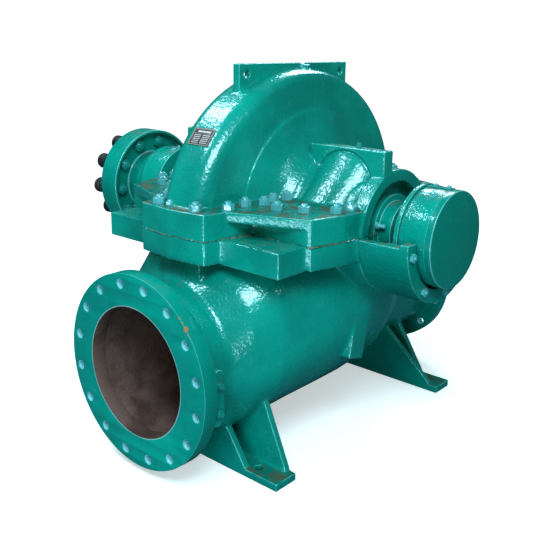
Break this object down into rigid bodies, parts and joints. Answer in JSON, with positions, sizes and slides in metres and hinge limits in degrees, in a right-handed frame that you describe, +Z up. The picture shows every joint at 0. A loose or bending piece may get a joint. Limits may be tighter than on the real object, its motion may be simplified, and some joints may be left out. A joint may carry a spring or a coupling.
{
  "type": "split case pump",
  "caption": "Horizontal double suction split case pump on cast feet, with flanged side nozzles, end bearing housings and a pin coupling half on its turning shaft.",
  "frame": {"origin": "under the middle of the bounding box, on the plane of the feet", "axes": "+X along the shaft towards the free end, +Y towards the discharge flange, +Z up"},
  "size_m": [1.322, 1.22, 1.054],
  "materials": {
    "teal_enamel": "glossy brushed enamel over rough castings",
    "black_rubber": "matt ribbed bushes",
    "machined_steel": "turned steel",
    "plate_metal": "etched plate"
  },
  "bodies": {
    "body": {"lower_casing": "teal_enamel", "upper_casing": "teal_enamel", "bearing_bracket_free_end": "teal_enamel", "bearing_housing_free_end": "teal_enamel", "end_cover_free_end": "teal_enamel", "gland_free_end": "teal_enamel", "bearing_bracket_drive_end": "teal_enamel", "bearing_housing_drive_end": "teal_enamel", "end_cover_drive_end": "teal_enamel", "gland_drive_end": "teal_enamel", "gauge_plug_1": "teal_enamel", "gauge_plug_2": "teal_enamel", "vent_plug": "teal_enamel", "nameplate": "plate_metal"},
    "rotor": {"shaft": "machined_steel", "coupling_half": "teal_enamel", "shaft_sleeve_free_end": "machined_steel", "shaft_sleeve_drive_end": "machined_steel", "coupling_pin_01": "black_rubber", "coupling_pin_02": "black_rubber", "coupling_pin_03": "black_rubber", "coupling_pin_04": "black_rubber", "coupling_pin_05": "black_rubber", "coupling_pin_06": "black_rubber", "coupling_pin_07": "black_rubber", "coupling_pin_08": "black_rubber", "coupling_pin_09": "black_rubber", "coupling_pin_10": "black_rubber"}
  },
  "joints": [
    {"name": "rotor_spin", "type": "hinge", "parent": "body", "child": "rotor", "pos_m": [0.1, 0, 0.6245], "axis": [1, 0, 0], "continuous": true}
  ]
}
